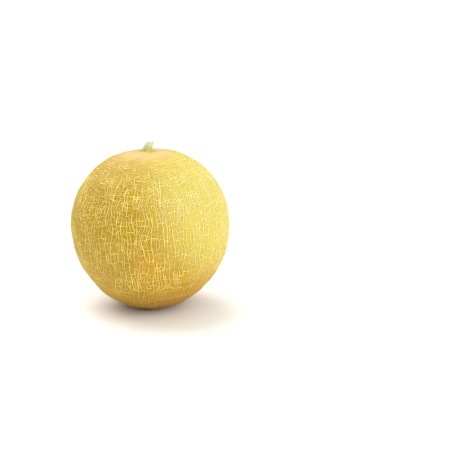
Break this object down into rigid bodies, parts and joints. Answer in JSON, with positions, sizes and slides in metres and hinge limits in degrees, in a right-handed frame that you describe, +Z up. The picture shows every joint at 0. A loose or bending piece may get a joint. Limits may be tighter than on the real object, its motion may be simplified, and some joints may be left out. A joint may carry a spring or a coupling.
{
  "type": "netted melon",
  "caption": "Round netted melon with a ribbed, cut stub of its stem on top, resting upright on a small flat spot.",
  "frame": {"origin": "middle of the small flat spot under the fruit, which it rests on", "axes": "+Z up, from the flat spot to the stem; -Y towards the viewer; +X to the viewer's right"},
  "size_m": [0.1499, 0.1499, 0.1592],
  "materials": {
    "rind": "golden yellow waxy rind under a raised, matt, cream net of corky lines",
    "stem": "matt olive green, ribbed along its length, paler and greyer at the cut"
  },
  "bodies": {
    "root": {"melon_fruit": "rind", "stem_stub": "stem"}
  },
  "joints": []
}
